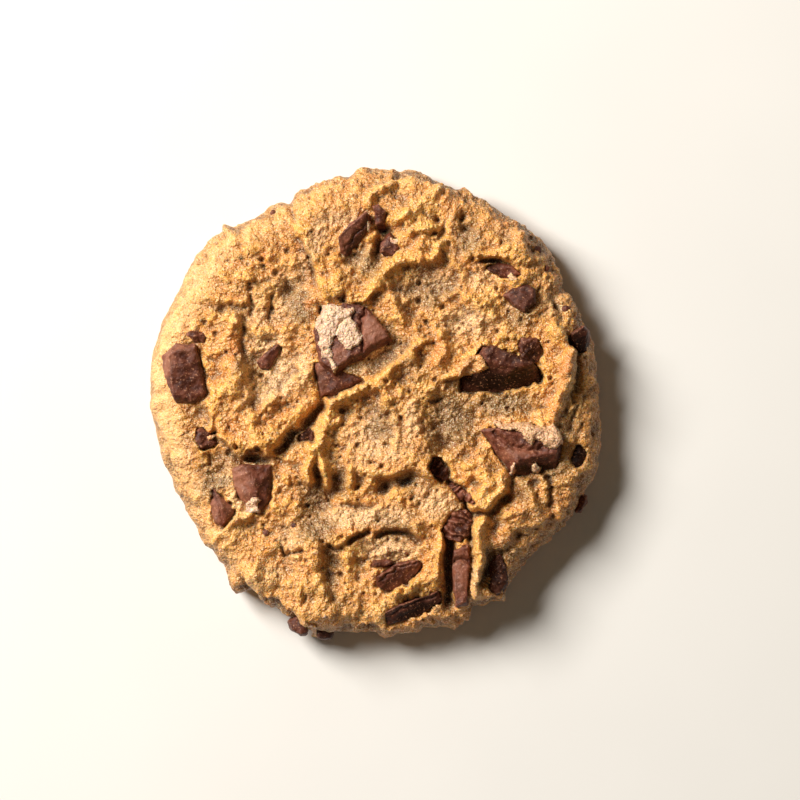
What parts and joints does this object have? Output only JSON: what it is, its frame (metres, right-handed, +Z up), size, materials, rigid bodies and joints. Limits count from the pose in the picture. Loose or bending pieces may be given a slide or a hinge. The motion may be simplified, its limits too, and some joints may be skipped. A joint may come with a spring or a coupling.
{
  "type": "chocolate chip cookie",
  "caption": "Thick round cookie of craggy golden dough, with chunks and chips of dark chocolate set in its top and edge, and a flat underside.",
  "frame": {"origin": "on the surface that the cookie lies on, below the middle of its bounding box", "axes": "+Z up; +Y towards the top edge of the cookie as the picture shows it from straight above; +X to the picture's right"},
  "size_m": [0.0905, 0.0949, 0.017],
  "materials": {
    "dough": "baked cookie dough: golden brown crests, paler and greyer hollows, sandy grain with pits, matt",
    "chocolate": "dark chocolate, broken and partly melted: satin faces, lighter worn edges"
  },
  "bodies": {
    "root": {"dough": "dough", "centre_block": "chocolate", "centre_low": "chocolate", "left_block": "chocolate", "top_bar": "chocolate", "top_block": "chocolate", "lower_left_block": "chocolate", "lower_left_small": "chocolate", "upper_right_block": "chocolate", "right_bar": "chocolate", "right_edge": "chocolate", "lower_right_block": "chocolate", "upright_bar": "chocolate", "lower_lens": "chocolate", "left_shard": "chocolate", "right_melt": "chocolate", "bottom_bar": "chocolate", "hollow_chip": "chocolate", "left_chip": "chocolate", "left_melt": "chocolate", "crevice_chip": "chocolate", "upper_right_chip": "chocolate", "edge_oval": "chocolate", "melt_upper": "chocolate", "melt_trail": "chocolate", "melt_crinkled": "chocolate", "lower_stub": "chocolate", "lens_rim": "chocolate", "edge_chip": "chocolate", "edge_low": "chocolate", "edge_sliver": "chocolate"}
  },
  "joints": []
}
